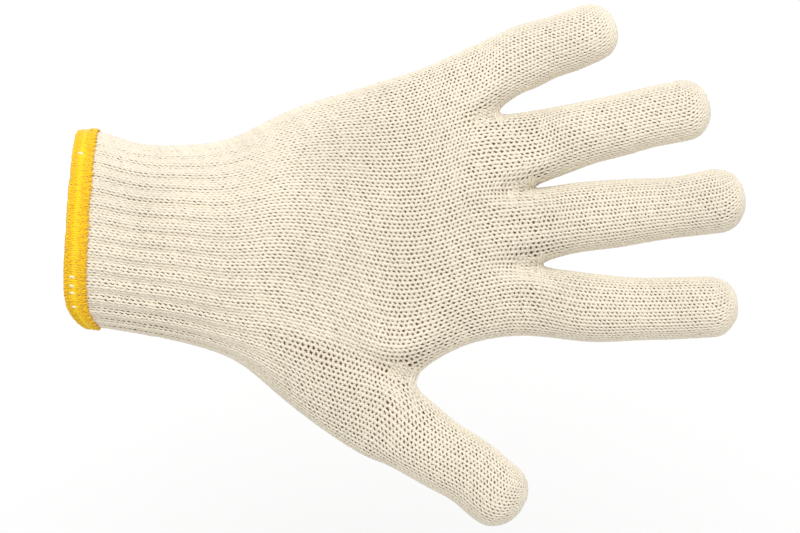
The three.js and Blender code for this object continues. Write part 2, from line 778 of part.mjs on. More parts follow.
// The overlocked edge: a channel of thread that holds the cuff's edge, with scallops.
function cuffEdging() {
  const thick = EDGING_THICKNESS;
  const deep = 2 * thick + 2 * GAP + WALL;
  const section = [
    { away: 0, depth: thick },
    { away: 0.7, depth: 0.1 },
    { away: 0.55 * EDGING_WIDTH, depth: -0.15 },
    { away: EDGING_WIDTH, depth: 0.35, scallop: SCALLOP },
    { away: EDGING_WIDTH, depth: thick, scallop: SCALLOP },
    { away: thick, depth: thick },
    { away: thick, depth: deep - thick },
    { away: 0.88 * EDGING_WIDTH, depth: deep - thick },
    { away: 0.88 * EDGING_WIDTH, depth: deep },
    { away: 0.7, depth: deep - 0.1 },
    { away: 0, depth: deep - thick },
  ];
  const loops = section.map(({ away, depth, scallop = 0 }) =>
    cuffLoop(
      2 * RIBS,
      (place, i) => rowAt(place, away + (i % 2 ? scallop : -scallop)),
      () => depth,
    ),
  );
  return mesh("cuff_edging", ringBody(loops), yellowThread());
}

const root = new THREE.Group();
root.add(cuffEdging(), ribCuff(), lowerHand(), upperHand());
DIGITS.forEach((_, digit) => root.add(stall(digit)));

export default root;
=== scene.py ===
"""A seamless cotton work glove, with every loop of its yarn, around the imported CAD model."""

import math

import bpy
import numpy as np
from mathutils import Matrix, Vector


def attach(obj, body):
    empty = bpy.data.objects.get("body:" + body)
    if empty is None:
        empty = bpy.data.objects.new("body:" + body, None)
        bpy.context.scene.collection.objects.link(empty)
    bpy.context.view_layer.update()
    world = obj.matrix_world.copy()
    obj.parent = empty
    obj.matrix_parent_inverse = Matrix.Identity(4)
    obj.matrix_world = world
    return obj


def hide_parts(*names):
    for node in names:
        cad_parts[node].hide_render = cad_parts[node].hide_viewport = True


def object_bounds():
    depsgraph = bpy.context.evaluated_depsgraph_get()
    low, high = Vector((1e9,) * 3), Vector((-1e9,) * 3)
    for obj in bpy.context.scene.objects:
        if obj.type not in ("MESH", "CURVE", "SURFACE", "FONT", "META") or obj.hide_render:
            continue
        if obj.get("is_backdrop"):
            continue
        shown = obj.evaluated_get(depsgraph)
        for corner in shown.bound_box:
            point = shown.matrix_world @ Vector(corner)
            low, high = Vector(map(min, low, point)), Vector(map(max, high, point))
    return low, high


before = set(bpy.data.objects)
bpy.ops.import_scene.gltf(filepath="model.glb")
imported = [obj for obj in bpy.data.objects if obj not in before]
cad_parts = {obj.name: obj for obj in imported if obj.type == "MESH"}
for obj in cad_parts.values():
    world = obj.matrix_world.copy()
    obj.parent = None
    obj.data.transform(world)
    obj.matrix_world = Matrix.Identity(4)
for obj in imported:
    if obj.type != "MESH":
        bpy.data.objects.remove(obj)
CAD_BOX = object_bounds()

# Lengths are in millimetres up to the last step, which makes meshes in metres.
MM = 0.001

# The glove's main sizes, as in the solids: cuff, hand, and how far the thumb stands out.
CUFF_LENGTH = 58
CUFF_WIDTH = 69
CUFF_DEPTH = 48
PALM_LENGTH = 108
PALM_WIDTH = 104
PALM_DEPTH = 31
THUMB_REACH = 77.5

# Forks between the digits: x as a share of the palm's length past the cuff, y of its width.
FORKS = {
    "thumb": (0.587, -0.494),
    "little": (0.852, 0.385),
    "ring": (0.964, 0.139),
    "middle": (0.989, -0.116),
}
FORK_DIGITS = {
    "thumb": ("index", "thumb"),
    "little": ("little", "ring"),
    "ring": ("ring", "middle"),
    "middle": ("middle", "index"),
}
WEB_RUN = 5.6
WEB_HEIGHT = 0.62

# Digits: row of the fork, length, width and depth, and heading in degrees from +X.
DIGITS = {
    "little": (9, 48.4, 21.6, 19, 21.5),
    "ring": (10, 63, 22, 20, 13.5),
    "middle": (10, 72, 23, 20.5, 6.5),
    "index": (10, 69.8, 22.6, 20, -1.5),
    "thumb": (7, 56.2, 24.6, 22.5, -36),
}
NAMES = list(DIGITS)
TIP_REACH = 0.5
TIP_POWER = 2.4
TIP_TURN = 40
TIP_ANGLES = (66, 40, 14)

# Rows of the cuff: x, slant, curl, little edge, thumb edge, back and palm heights.
CUFF_ROWS = (
    (0, 0.07, 0.13, 0.48, 0.49, 0.5, 0.5),
    (0.17, 0.06, 0.06, 0.484, 0.497, 0.5, 0.5),
    (0.43, 0, 0, 0.432, 0.525, 0.47, 0.47),
    (0.7, 0, 0, 0.421, 0.57, 0.45, 0.46),
    (1, 0, 0, 0.461, 0.655, 0.425, 0.46),
)
CURL_POWER = 7
# Rows up to the thumb's fork: little edge, fork line, thumb edge, heights.
THUMB_ROWS = (
    (0.167, 0.388, 0.16, -0.34, 0.12, 0.711, 0.6, 0.7),
    (0.361, 0.454, 0.355, -0.405, 0.264, 0.87, 0.54, 0.68),
    (0.565, 0.52, 0.53, -0.462, 0.406, 1.0, 0.5, 0.6),
)
# Rows past the thumb: little or ring edge, index edge, heights.
FINGER_ROWS = (
    (0.676, 0.565, 0.7, -0.405, 0.49, 0.54),
    (0.77, 0.61, 0.824, -0.364, 0.48, 0.5),
    (0.952, 0.392, 0.947, -0.355, 0.44, 0.46),
)
# Sections of the digits: way from fork to tip, depth, drop, then each digit's width and lean.
DIGIT_ROWS = (
    (0.2, 0.98, 0.01, (1.03, 1.06, 1.05, 1.06, 1.1), (0.085, 0.035, 0.051, -0.068, -0.028)),
    (0.4, 1, 0.03, (1.04, 0.99, 1.03, 1.03, 1.02), (0.104, 0.05, 0.05, -0.103, -0.019)),
    (0.6, 0.97, 0.06, (0.98, 0.97, 0.97, 0.965, 0.99), (0.104, 0.048, 0.048, -0.096, 0.007)),
    (0.8, 0.94, 0.1, (0.965, 0.955, 0.92, 0.955, 0.96), (0.08, 0.058, 0.041, -0.075, 0.035)),
    (1, 0.92, 0.14, (0.94, 0.965, 0.97, 0.94, 0.96), (0.08, 0.042, 0.063, -0.043, 0.005)),
)
SECTION_POWER = 2.25
SECTION_PLACES = 241
CUFF_POWER = 2.1
FACE_CELLS = 4
COLUMNS = 2 * FACE_CELLS + 4
LEFT_SIDE = 0
RIGHT_SIDE = FACE_CELLS + 2
LEVELS = 3
FINE = 2**LEVELS
FITTING_PASSES = 12

# The knit. A course is one turn of yarn round a tube, a wale one column of loops.
WALES_FACE = 9
WALES_HALF_SIDE = 2
# Course pitches along each digit, from fork to tip.
DIGIT_PITCHES = {
    "little": (1.5, 1.45, 1.55, 1.75, 1.75),
    "ring": (1.7, 1.72, 1.75, 1.75, 1.75),
    "middle": (1.7, 1.4, 1.4, 1.5, 1.75),
    "index": (1.7, 1.5, 1.5, 1.7, 1.7),
    "thumb": (1.75, 1.6, 1.5, 1.5, 1.6),
}
# The yarn has this radius where loops are WALE wide and COURSE long.
WALE = 2.45
COURSE = 1.74
YARN = 0.51
# How much the yarn swells in large loops and is pressed together in small ones.
YARN_GIVE = 0.3
LOOP_DEPTH = 0.09
LOOP_REACH = 0.75
LOOP_LEAN = 0.23
# The radius stays within these shares of its usual one.
YARN_RANGE = (0.6, 1.15)
# Unevenness of the loops: across and along the wale in loops, share of radius, and height.
UNEVEN_ACROSS = 0.03
UNEVEN_ALONG = 0.07
UNEVEN_RADIUS = 0.06
UNEVEN_HEIGHT = 0.05
# The skin under the loops: how deep its two faces lie, and how far the purled one is uneven.
SKIN_DEPTHS = (1.2, 1.55)
PURL = 0.13
# Ribs of the cuff: how far the wales between them sink, how strong they are by row, and by
# wales from the little finger's side.
RIB_HEIGHT = 1.05
RIB_FADE = ((0.9, 1.5, 2.6, 4, 5.4), (0.5, 0.9, 1, 0.55, 0))
RIB_FLAT = ((0, 8, 20), (0.3, 0.45, 1))
# Extra yarn between the ribs, and yarn that is missing in the middle of each rib.
RIB_FILL = 0.06
RIB_OPEN = 0.16
CREST_POWER = 3
WALES_PER_RIB = 2.8
# The pitch of a tube's courses is true over its back, up to the index finger.
KNUCKLE_WALES = 38
# Wales of the hand lie this many wales nearer the little finger's side, by row.
DRIFT = ((0, 3, 5, 6, 7, 8, 9), (1.8, 2.7, 2.6, 2.25, 1.5, 0.45, 0))
DRIFT_WALES = 40
# Courses slant across both faces: courses gained per wale, counted from the middle wale.
SKEW = 0.31
MIDDLE_WALE = 24.5
# Points of a strand for each loop, corners of its section, and rows measured along a tube.
SAMPLES = 8
STRAND_ANGLES = np.radians((0, 72, 180, 288))
ROW_STEPS = 12
# Places of a piece's materials in its list: its main yarn, and then the painted pore shade of a
# knitted piece, the other yarn of the hem.
MAIN = 0
OTHER = 1
# Shares of a piece's bake strip up to which its whole strands, all its strands and its skin lie.
WHOLE_SHARE = 0.8
STRAND_SHARE = 0.9
SKIN_SHARE = 0.98

rng = np.random.default_rng(7)


# The surface of the worn glove.

def vec(x, y, z=0.0):
    return np.array((x, y, z), float)


def unit(v):
    return v / np.linalg.norm(v, axis=-1, keepdims=True)


def wales_to(column):
    return 0 if column == 0 else WALES_HALF_SIDE + (column - 1) * WALES_FACE / FACE_CELLS


def oval_height(s, power):
    return (1 - np.abs(2 * s - 1) ** power) ** (1 / power)


def even_places(width, height, power, shares):
    """Places across a half section that split its length as shares say."""
    place = (1 - np.cos(np.linspace(0, np.pi, SECTION_PLACES))) / 2
    steps = np.hypot(width * np.diff(place), height * np.diff(oval_height(place, power)))
    lengths = np.concatenate(([0], np.cumsum(steps)))
    return np.interp(np.array(shares) * lengths[-1], lengths, place)


def hand_row(left, right, back, palm, digits, fork=None, slant=0, curl=0, power=SECTION_POWER):
    """A row across the hand, as points on its back and on its palm."""
    last = digits * FACE_CELLS + 2
    total = wales_to(last - 1) + WALES_HALF_SIDE
    middle = right if fork is None else fork
    first_run = np.linalg.norm(middle - left)
    run = first_run + np.linalg.norm(right - middle)
    shares = [wales_to(c) / total for c in range(last)] + [1]
    s = even_places(run, (back + palm) / 2, power, shares)
    split = first_run / run
    if fork is not None:
        held = s[(digits - 1) * FACE_CELLS + 1]
        s = np.where(s <= held, s * split / held, 1 - (1 - s) * (1 - split) / (1 - held))
    before = left + (middle - left) * (s / split)[:, None]
    after = middle + (right - middle) * ((s - split) / max(1 - split, 1e-9))[:, None]
    flat = np.where((s <= split)[:, None], before, after)
    flat[:, 0] += slant * (1 - s) + curl * np.maximum(0, 2 * s - 1) ** CURL_POWER
    up = np.outer(oval_height(np.clip(s, 0, 1), power), vec(0, 0, 1))
    return flat + back * up, flat - palm * up


def hand_rows():
    rows = []
    for x, slant, curl, little, thumb, back, palm in CUFF_ROWS:
        rows.append(hand_row(
            vec(x * CUFF_LENGTH, little * CUFF_WIDTH), vec(x * CUFF_LENGTH, -thumb * CUFF_WIDTH),
            back * CUFF_DEPTH, palm * CUFF_DEPTH, 5,
            slant=slant * CUFF_LENGTH, curl=curl * CUFF_LENGTH, power=CUFF_POWER,
        ))
    for xl, yl, xf, yf, xt, yt, back, palm in THUMB_ROWS:
        rows.append(hand_row(
            hand_point(xl, yl), vec(CUFF_LENGTH + xt * PALM_LENGTH, -yt * THUMB_REACH),
            back * PALM_DEPTH, palm * PALM_DEPTH, 5, fork=hand_point(xf, yf),
        ))
    for i, (xl, yl, xi, yi, back, palm) in enumerate(FINGER_ROWS):
        rows.append(hand_row(
            hand_point(xl, yl), hand_point(xi, yi),
            back * PALM_DEPTH, palm * PALM_DEPTH, 4 if i < 2 else 3,
        ))
    return rows


def hand_point(x, y):
    return vec(CUFF_LENGTH + x * PALM_LENGTH, y * PALM_WIDTH)


def heading(name):
    angle = math.radians(DIGITS[name][4])
    return vec(math.cos(angle), math.sin(angle))


def digit_ring(centre, forward, width, depth):
    half = WALES_HALF_SIDE / (2 * WALES_FACE + 4 * WALES_HALF_SIDE)
    back = np.linspace(half, 0.5 - half, FACE_CELLS + 1)
    turns = np.concatenate(([0], back, [0.5], 1 - back[::-1]))
    side = vec(-forward[1], forward[0])
    across = np.outer(np.cos(2 * np.pi * turns), side) * width / 2
    up = np.outer(np.sin(2 * np.pi * turns), vec(0, 0, 1)) * depth / 2
    return centre + across + up


def tip_rings(centre, forward, width, depth, reach):
    """Rings of the blunt tip, which closes on the little finger's side of the digit."""
    side = vec(-forward[1], forward[0])
    circle = digit_ring(vec(0, 0), vec(1, 0), 2, 2)
    for angle in TIP_ANGLES:
        polar = math.radians(angle)
        turn = math.radians(TIP_TURN * (1 - angle / 90))
        x = math.cos(polar) * math.cos(turn) - circle[:, 1] * math.sin(polar) * math.sin(turn)
        y = math.cos(polar) * math.sin(turn) + circle[:, 1] * math.sin(polar) * math.cos(turn)
        z = circle[:, 2] * math.sin(polar)
        size = (np.abs(x) ** TIP_POWER + np.hypot(y, z) ** TIP_POWER) ** (1 / TIP_POWER)
        yield (
            centre
            + np.outer(x / size, forward) * reach
            + np.outer(y / size, side) * width / 2
            + np.outer(z / size, vec(0, 0, 1)) * depth / 2
        )


def ahead_of(fork):
    """The direction halfway between the two digits of a fork."""
    first, second = FORK_DIGITS[fork]
    return unit(heading(first) + heading(second))


def web_at(row, column, fork):
    """Draws a row's points back from a fork and down over its web. Returns the web's middle."""
    web = hand_point(*FORKS[fork])
    for points in row:
        points[column, :2] = (web - WEB_RUN * ahead_of(fork))[:2]
        points[column, 2] *= WEB_HEIGHT
    return web


def wanted_grids():
    """For each digit, rows of COLUMNS points round it, or None where it has no side."""
    rows = hand_rows()
    # The row of each web, and its column there.
    places = {"thumb": (7, 17), "little": (9, 5), "ring": (10, 5), "middle": (10, 9)}
    webs = {fork: web_at(rows[row], column, fork) for fork, (row, column) in places.items()}
    # First row with a side of the digit's own, and the web there, on the left and right.
    free = {
        "little": (0, None, 9, webs["little"]),
        "ring": (9, webs["little"], 10, webs["ring"]),
        "middle": (10, webs["ring"], 10, webs["middle"]),
        "index": (10, webs["middle"], 7, webs["thumb"]),
        "thumb": (7, webs["thumb"], 0, None),
    }
    grids = []
    for d, (name, (fork_row, length, width, depth, _)) in enumerate(DIGITS.items()):
        left, left_web, right, right_web = free[name]
        grid = []
        for r in range(fork_row + 1):
            top, bottom = rows[r]
            first = 1 + FACE_CELLS * (d - 1 if r == 10 else d)
            ring = [None] * COLUMNS
            for c in range(FACE_CELLS + 1):
                ring[1 + c] = top[first + c]
                ring[COLUMNS - 1 - c] = bottom[first + c]
            if r >= left:
                ring[LEFT_SIDE] = left_web if r == left and left_web is not None else top[first - 1]
            if r >= right:
                own = top[min(first + FACE_CELLS + 1, len(top) - 1)]
                ring[RIGHT_SIDE] = right_web if r == right and right_web is not None else own
            grid.append(ring)
        start = (grid[-1][LEFT_SIDE] + grid[-1][RIGHT_SIDE]) / 2 * (1, 1, 0)
        forward = heading(name)
        side = vec(-forward[1], forward[0])
        reach = TIP_REACH * width
        for along, depth_share, drop, widths, leans in DIGIT_ROWS:
            centre = start + along * (length - reach) * forward + leans[d] * width * side
            centre = centre - vec(0, 0, drop * width)
            section = (centre, forward, widths[d] * width, depth_share * depth)
            grid.append(list(digit_ring(*section)))
        grid.extend(list(ring) for ring in tip_rings(*section, reach))
        grids.append(grid)
    return grids


class Surface:
    """The smooth surface through the wanted points, by digit, row and column."""

    DIGIT_STRIDE = 16

    def __init__(self):
        grids = wanted_grids()
        self.last_row = [len(grid) - 1 for grid in grids]
        points, quads, places = [], [], []
        known = {}

        def index(p):
            key = tuple(np.round(p, 4))
            if key not in known:
                known[key] = len(points)
                points.append(p)
            return known[key]

        for digit, grid in enumerate(grids):
            for r in range(len(grid) - 1):
                for c in range(COLUMNS):
                    corners = ((r, c), (r, c + 1), (r + 1, c + 1), (r + 1, c))
                    found = [grid[y][x % COLUMNS] for y, x in corners]
                    if all(p is not None for p in found):
                        quads.append([index(p) for p in found])
                        places.extend((x + digit * self.DIGIT_STRIDE, y) for y, x in corners)
        cage = bpy.data.meshes.new("cage")
        cage.from_pydata([Vector(p) for p in points], [], quads)
        cage.uv_layers.new(name="place").data.foreach_set("uv", np.ravel(places))
        holder = bpy.data.objects.new("cage", cage)
        bpy.context.scene.collection.objects.link(holder)
        smooth = holder.modifiers.new("smooth", "SUBSURF")
        smooth.uv_smooth = "NONE"
        wanted = np.array(points)
        control = wanted.copy()
        smooth.levels = 1
        for _ in range(FITTING_PASSES):
            control += wanted - self.evaluated(holder, control)[0][: len(points)]
        smooth.levels = LEVELS
        self.points, self.normals, uv, corner = self.evaluated(holder, control, True)
        bpy.data.objects.remove(holder)
        bpy.data.meshes.remove(cage)
        self.fill_grid(uv.reshape(-1, 4, 2), corner.reshape(-1, 4))

    @staticmethod
    def evaluated(holder, control, full=False):
        holder.data.vertices.foreach_set("co", control.ravel())
        holder.data.update()
        graph = bpy.context.evaluated_depsgraph_get()
        mesh = bpy.data.meshes.new_from_object(
            holder.evaluated_get(graph), preserve_all_data_layers=True, depsgraph=graph
        )
        count = len(mesh.vertices)
        points = np.empty(count * 3)
        mesh.vertices.foreach_get("co", points)
        result = [points.reshape(-1, 3)]
        if full:
            normals = np.empty(count * 3)
            mesh.vertex_normals.foreach_get("vector", normals)
            uv = np.empty(len(mesh.loops) * 2)
            mesh.uv_layers["place"].data.foreach_get("uv", uv)
            corner = np.empty(len(mesh.loops), int)
            mesh.loops.foreach_get("vertex_index", corner)
            result += [normals.reshape(-1, 3), uv, corner]
        bpy.data.meshes.remove(mesh)
        return result

    def fill_grid(self, uv, corner):
        around = COLUMNS * FINE
        self.grid = np.full((len(NAMES), max(self.last_row) * FINE + 2, around), -1)
        digit = (uv[:, :, 0].mean(1) // self.DIGIT_STRIDE).astype(int)[:, None]
        column = np.rint((uv[:, :, 0] - digit * self.DIGIT_STRIDE) * FINE).astype(int) % around
        row = np.rint(uv[:, :, 1] * FINE).astype(int)
        self.grid[np.broadcast_to(digit, row.shape), row, column] = corner

    def at(self, digit, row, column):
        """Points and normals at arrays of digits, rows and columns."""
        digit, row, column = np.broadcast_arrays(digit, row, column)
        last = np.array(self.last_row)[digit] * FINE
        r = np.clip(row * FINE, 0, last)
        c = column % COLUMNS * FINE
        r0 = np.minimum(r.astype(int), last - 1)
        c0 = c.astype(int)
        point = np.zeros(row.shape + (3,))
        normal = np.zeros(row.shape + (3,))
        for dr in (0, 1):
            for dc in (0, 1):
                weight = np.abs(1 - dr - (r - r0)) * np.abs(1 - dc - (c - c0))
                found = self.grid[digit, r0 + dr, (c0 + dc) % (COLUMNS * FINE)]
                weight = np.where(found < 0, 0, weight)[..., None]
                point += weight * self.points[found]
                normal += weight * self.normals[found]
        return point, unit(normal)


surface = Surface()


# Rings of wales, and the tubes knitted on them.

class Ring:
    """Wales round a tube that holds the digits from first to last."""

    def __init__(self, first, last):
        self.first = first
        self.crosses_hand = last > first
        half, face = WALES_HALF_SIDE, WALES_FACE
        digits = range(first, last + 1)
        parts = [(first, 0, 1, half)]
        parts += [(d, 1, RIGHT_SIDE - 1, face) for d in digits]
        parts += [(last, RIGHT_SIDE - 1, RIGHT_SIDE + 1, 2 * half)]
        parts += [(d, RIGHT_SIDE + 1, COLUMNS - 1, face) for d in reversed(digits)]
        parts += [(first, COLUMNS - 1, COLUMNS, half)]
        self.digit, self.column, end, wales = (np.array(x) for x in zip(*parts))
        self.start = np.concatenate(([0], np.cumsum(wales)[:-1]))
        self.slope = (end - self.column) / wales
        self.wales = int(wales.sum())

    def from_side(self, u):
        """Wales from the tube's edge on the little finger's side."""
        return np.abs((u + self.wales / 2) % self.wales - self.wales / 2)

    def lag(self, u):
        """Courses that the slant of the knit moves wale u towards the fingertips."""
        return SKEW * (self.from_side(u) + self.first * WALES_FACE - MIDDLE_WALE)

    def at(self, u, row):
        """Surface points and normals at wale u and the given row."""
        from_side = self.from_side(u)
        drift = np.sin(np.pi * np.clip(from_side / DRIFT_WALES, 0, 1)) * self.crosses_hand
        drift = drift * np.interp(row, *DRIFT)
        back = u % self.wales < self.wales / 2
        u = (u - np.where(back, drift, -drift)) % self.wales
        part = np.searchsorted(self.start, u, side="right") - 1
        column = self.column[part] + (u - self.start[part]) * self.slope[part]
        return surface.at(self.digit[part], row, column)


class Tube:
    """A stretch of knit from one row of a ring to another, with pairs of row and pitch."""

    def __init__(self, ring, pitches):
        self.ring = ring
        at, pitch = zip(*pitches)
        self.rows = np.linspace(at[0], at[-1], ROW_STEPS * math.ceil(at[-1] - at[0]) + 1)
        u = np.arange(min(ring.wales // 2, KNUCKLE_WALES)) + 0.5
        points, _ = ring.at(u[None, :], self.rows[:, None])
        steps = np.linalg.norm(np.diff(points, axis=0), axis=-1).mean(1)
        steps /= np.interp((self.rows[1:] + self.rows[:-1]) / 2, at, pitch)
        ways = np.concatenate(([0], np.cumsum(steps)))
        self.courses = round(ways[-1])
        self.ways = ways * self.courses / ways[-1]

    def row(self, v):
        """The row that v courses from the tube's low end lie at."""
        row = np.interp(v, self.ways, self.rows)
        past = np.maximum(v - self.courses, 0) / (self.ways[-1] - self.ways[-2])
        return row + past * (self.rows[-1] - self.rows[-2])


# Meshes of yarn, and of the skin under it.

class Pile:
    """Gathers strands and shells for one object."""

    def __init__(self):
        self.vertices, self.faces, self.materials = [], [], []
        self.yarn_uv, self.bake_uv, self.depth = [], [], []
        self.count = 0

    def add(self, vertices, faces, material, yarn_uv, bake_uv, depth):
        self.vertices.append(vertices.reshape(-1, 3))
        self.faces.append(faces.reshape(-1, 4) + self.count)
        self.materials.append(np.broadcast_to(material, faces.size // 4))
        self.yarn_uv.append(yarn_uv.reshape(-1, 2))
        self.bake_uv.append(bake_uv.reshape(-1, 2))
        self.depth.append(np.ravel(depth))
        self.count += vertices.size // 3

    def object(self, name, materials):
        vertices = np.concatenate(self.vertices) * MM
        faces = np.concatenate(self.faces)
        mesh = bpy.data.meshes.new(name)
        mesh.vertices.add(len(vertices))
        mesh.vertices.foreach_set("co", vertices.ravel())
        mesh.loops.add(faces.size)
        mesh.loops.foreach_set("vertex_index", faces.ravel())
        mesh.polygons.add(len(faces))
        mesh.polygons.foreach_set("loop_start", np.arange(0, faces.size, 4))
        for material in materials:
            mesh.materials.append(material)
        mesh.polygons.foreach_set("material_index", np.concatenate(self.materials))
        mesh.update(calc_edges=True)
        for layer, uv in (("OFBake", self.bake_uv), ("Yarn", self.yarn_uv)):
            mesh.uv_layers.new(name=layer).data.foreach_set("uv", np.concatenate(uv).ravel())
        # Each point's height over the glove's surface, from which the yarn materials paint their
        # shade.
        depth = mesh.attributes.new("depth", "FLOAT", "POINT")
        depth.data.foreach_set("value", np.concatenate(self.depth))
        mesh.shade_smooth()
        made = bpy.data.objects.new(name, mesh)
        bpy.context.scene.collection.objects.link(made)
        return made


def grid_faces(rows, columns, closed_rows=False, closed_columns=True):
    """Quads of a grid of vertices, and the grid place of each of their corners."""
    r = np.arange(rows if closed_rows else rows - 1)[:, None, None]
    c = np.arange(columns if closed_columns else columns - 1)[None, :, None]
    corner_r = r + np.array((0, 0, 1, 1))
    corner_c = c + np.array((0, 1, 1, 0))
    corner_r, corner_c = np.broadcast_arrays(corner_r, corner_c)
    return (corner_r % rows) * columns + corner_c % columns, corner_r, corner_c


def strands(pile, centre, out, radius, material, band, depth, closed=True):
    """Tubes along paths. Centre is (strand, sample, 3), out points away from the glove."""
    count, samples, _ = centre.shape
    sides = len(STRAND_ANGLES)
    if closed:
        along = np.roll(centre, -1, 1) - np.roll(centre, 1, 1)
    else:
        along = np.gradient(centre, axis=1)
    along = unit(along)
    up = unit(out - (out * along).sum(-1, keepdims=True) * along)
    across = np.cross(along, up)
    lift, swing = np.cos(STRAND_ANGLES)[:, None], np.sin(STRAND_ANGLES)[:, None]
    ring = lift * up[:, :, None] + swing * across[:, :, None]
    size = np.broadcast_to(radius, centre.shape[:2])[:, :, None, None]
    vertices = centre[:, :, None] + size * ring
    faces, s, k = grid_faces(samples, sides, closed_rows=closed)
    faces = faces[..., ::-1]
    s, k = s[..., ::-1], k[..., ::-1]
    offset = np.arange(count)[:, None, None, None] * samples * sides
    everyone = (count,) + faces.shape
    yarn = np.stack((s / SAMPLES, k / sides), -1)
    low, high = band
    strip = (np.arange(count)[:, None, None, None] + k / sides) / count
    bake = np.stack((np.broadcast_to(s / samples, everyone), low + (high - low) * strip), -1)
    # Painted shade: the colour follows the height, and each strand's underside is painted darker
    # than its top.
    shade = depth[:, :, None] + size[..., 0] * np.cos(STRAND_ANGLES)
    pile.add(
        vertices, faces + offset, material,
        np.broadcast_to(yarn, everyone + (2,)), bake, shade,
    )
    if not closed:
        cap_ends(pile, vertices, material, bake[0, 0, 0, 0])


def cap_ends(pile, vertices, material, uv):
    """Closes both ends of open strands with a cone."""
    count, samples, sides, _ = vertices.shape
    for end, order in ((0, 1), (samples - 1, -1)):
        ring = vertices[:, end]
        tip = np.repeat(ring.mean(1, keepdims=True), sides, 1)
        both = np.stack((ring, tip), 1)
        faces, _, _ = grid_faces(2, sides)
        faces = faces[..., ::order]
        offset = np.arange(count)[:, None, None, None] * 2 * sides
        faces = faces + offset
        blank = np.broadcast_to(uv, faces.shape + (2,))
        pile.add(both, faces, material, blank, blank, np.ones(both.shape[:3]))


def loops_of_yarn(pile, tube, courses, band, relief=None):
    """A strand for each course, bent into a loop at each wale, cut at both ends of the piece."""
    wales = tube.ring.wales
    t = np.arange(wales * SAMPLES) / SAMPLES
    phase = 2 * np.pi * t
    lag = tube.ring.lag(t)
    first, last = courses
    course = np.arange(math.floor(first - lag.max()), math.ceil(last - lag.min()))[:, None] + 0.5
    shape = (len(course), len(t))

    def slow(amount, every):
        """Uneven yarn: random values, smoothed along the strand."""
        noise = rng.normal(0, amount, (len(course), len(t) // every))
        return np.repeat((noise + np.roll(noise, 1, 1)) / 2, every, 1)

    u = t + LOOP_LEAN * np.sin(2 * phase) + slow(UNEVEN_ACROSS, SAMPLES // 2)
    level = course + lag
    v = level + LOOP_REACH * np.cos(phase) + slow(UNEVEN_ALONG, SAMPLES // 2)
    row = np.broadcast_to(tube.row(v), shape)
    on, out = tube.ring.at(u, row)
    # The first loops reach back straight past the tube's start.
    start, _ = tube.ring.at(u, np.full(shape, tube.rows[0]))
    ahead, _ = tube.ring.at(u, np.full(shape, tube.row(1)))
    on = on + (ahead - start) * np.minimum(v, 0)[..., None]
    side, _ = tube.ring.at(u + 0.5, row)
    next_course, _ = tube.ring.at(u, tube.row(v + 0.5))
    wale = 2 * np.linalg.norm(side - on, axis=-1) / WALE
    pitch = 2 * np.linalg.norm(next_course - on, axis=-1) / COURSE
    radius = YARN * ((wale * pitch) ** YARN_GIVE).clip(*YARN_RANGE) * (1 + slow(UNEVEN_RADIUS, 2))
    if relief is not None:
        radius = radius * rib_yarn(u, row)
    # The height also sets the painted shade: loop heads and sinker loops lie deeper and are painted
    # darker, the ribs' relief is left out of it.
    height = -radius - LOOP_DEPTH * (1 + np.cos(2 * phase)) + slow(UNEVEN_HEIGHT, 2)
    sunk = height if relief is None else height - relief(u, row)
    centre = on + out * sunk[..., None]
    inside = (level > first) & (level < last)
    low, high = band
    whole_strands = inside.all(1)
    if whole_strands.any():
        split = low + (high - low) * WHOLE_SHARE
        chosen = (x[whole_strands] for x in (centre, out, radius))
        strands(pile, *chosen, MAIN, (low, split), height[whole_strands])
        low = split
    cut = np.flatnonzero(inside.any(1) & ~whole_strands)
    for i, k in enumerate(cut):
        place = low + (high - low) * np.array((i, i + 1)) / len(cut)
        for run in runs(inside[k]):
            open_strand = (x[k, run][None] for x in (centre, out, radius))
            strands(pile, *open_strand, MAIN, place, height[k, run][None], closed=False)


def runs(inside):
    """Index runs of a closed row of flags where they are true, and one place past each end."""
    count = len(inside)
    starts = np.flatnonzero(inside & ~np.roll(inside, 1))
    ends = np.flatnonzero(inside & ~np.roll(inside, -1))
    for start in starts:
        end = ends[(ends >= start).argmax()] if (ends >= start).any() else ends[0] + count
        yield np.arange(start - 1, end + 2) % count


def skin(pile, tube, courses, band, capped, step, relief, webs):
    """A thin closed skin under the loops: a dark sheet of painted shade seen through their pores,
    and the glove's purled inside.
    """
    u = np.arange(0, tube.ring.wales, step) + 0.5
    first, last = courses
    v = np.linspace(first, last, math.ceil((last - first) / (step + 0.5)) + 1)
    row = tube.row(v)[:, None]
    on, out = tube.ring.at(u[None, :], row)
    sink = 0 if relief is None else relief(u[None, :], row)[..., None]
    for web in webs:
        gap = np.linalg.norm(on[..., :2] - web[:2], axis=-1, keepdims=True)
        sink = sink + WEB_SINK * np.exp(-((gap / WEB_SPREAD) ** 2))
    outer = on - out * (SKIN_DEPTHS[0] + sink)
    purl = PURL * np.cos(np.pi * np.arange(len(v)))[:, None] * np.cos(np.pi * np.arange(len(u)))
    inner = on - out * (SKIN_DEPTHS[1] + purl[..., None] + sink)
    if capped:
        outer = np.concatenate((outer, np.repeat(outer[-1:].mean(1, keepdims=True), len(u), 1)))
        inner = np.concatenate((inner, np.repeat(inner[-1:].mean(1, keepdims=True), len(u), 1)))
    loops = np.concatenate((outer, inner[::-1]))
    faces, r, c = grid_faces(len(loops), len(u), closed_rows=True)
    low, high = band
    uv = np.stack((c / len(u), low + (high - low) * r / len(loops)), -1)
    # The outer face gets the painted pore shade, the purled inside the cotton's light tone.
    outside = np.arange(len(loops)) < len(outer)
    depth = np.where(outside, -SKIN_DEPTHS[0], 0)
    material = np.repeat(np.where(outside, OTHER, MAIN), len(u))
    pile.add(loops, faces, material, uv, uv, np.repeat(depth, len(u)))


# Materials.

def node_material(name):
    material = bpy.data.materials.new(name)
    material.use_nodes = True
    nodes = material.node_tree.nodes
    links = material.node_tree.links
    return material, nodes, links, nodes["Principled BSDF"]


